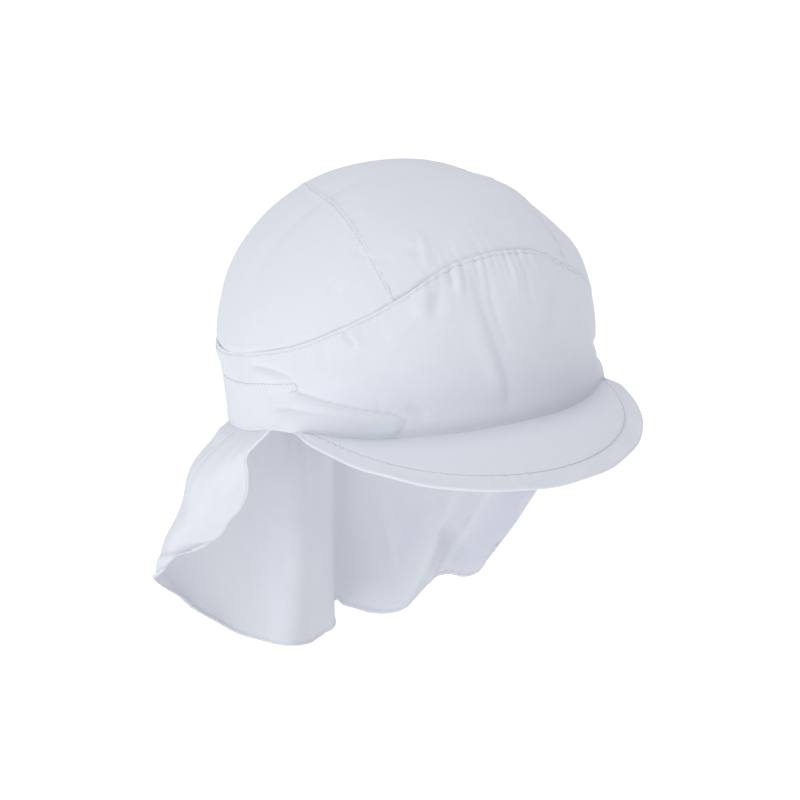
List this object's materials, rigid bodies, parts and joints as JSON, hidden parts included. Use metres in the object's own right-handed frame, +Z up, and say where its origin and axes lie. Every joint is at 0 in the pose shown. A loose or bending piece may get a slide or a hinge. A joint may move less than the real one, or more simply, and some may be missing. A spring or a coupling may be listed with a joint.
{
  "type": "legionnaire cap",
  "caption": "Soft cotton sun cap with an arched front band, a stiffened visor and a neck flap that hangs behind the ears.",
  "frame": {"origin": "middle of the head opening, at the mean height of its rim, where a head holds the cap", "axes": "+Z up, -Y ahead along the visor, -X toward the wearer's right"},
  "size_m": [0.1904, 0.2678, 0.2833],
  "materials": {
    "crown_cloth": "white cotton poplin, matte",
    "band_cloth": "white cotton poplin, doubled, matte",
    "visor_cloth": "white cotton poplin over a stiffener, matte",
    "flap_cloth": "white cotton poplin, single, matte"
  },
  "bodies": {
    "root": {"crown_top_panel": "crown_cloth", "crown_side_panel_right": "crown_cloth", "crown_side_panel_left": "crown_cloth", "band": "band_cloth", "visor": "visor_cloth", "neck_flap": "flap_cloth"}
  },
  "joints": []
}
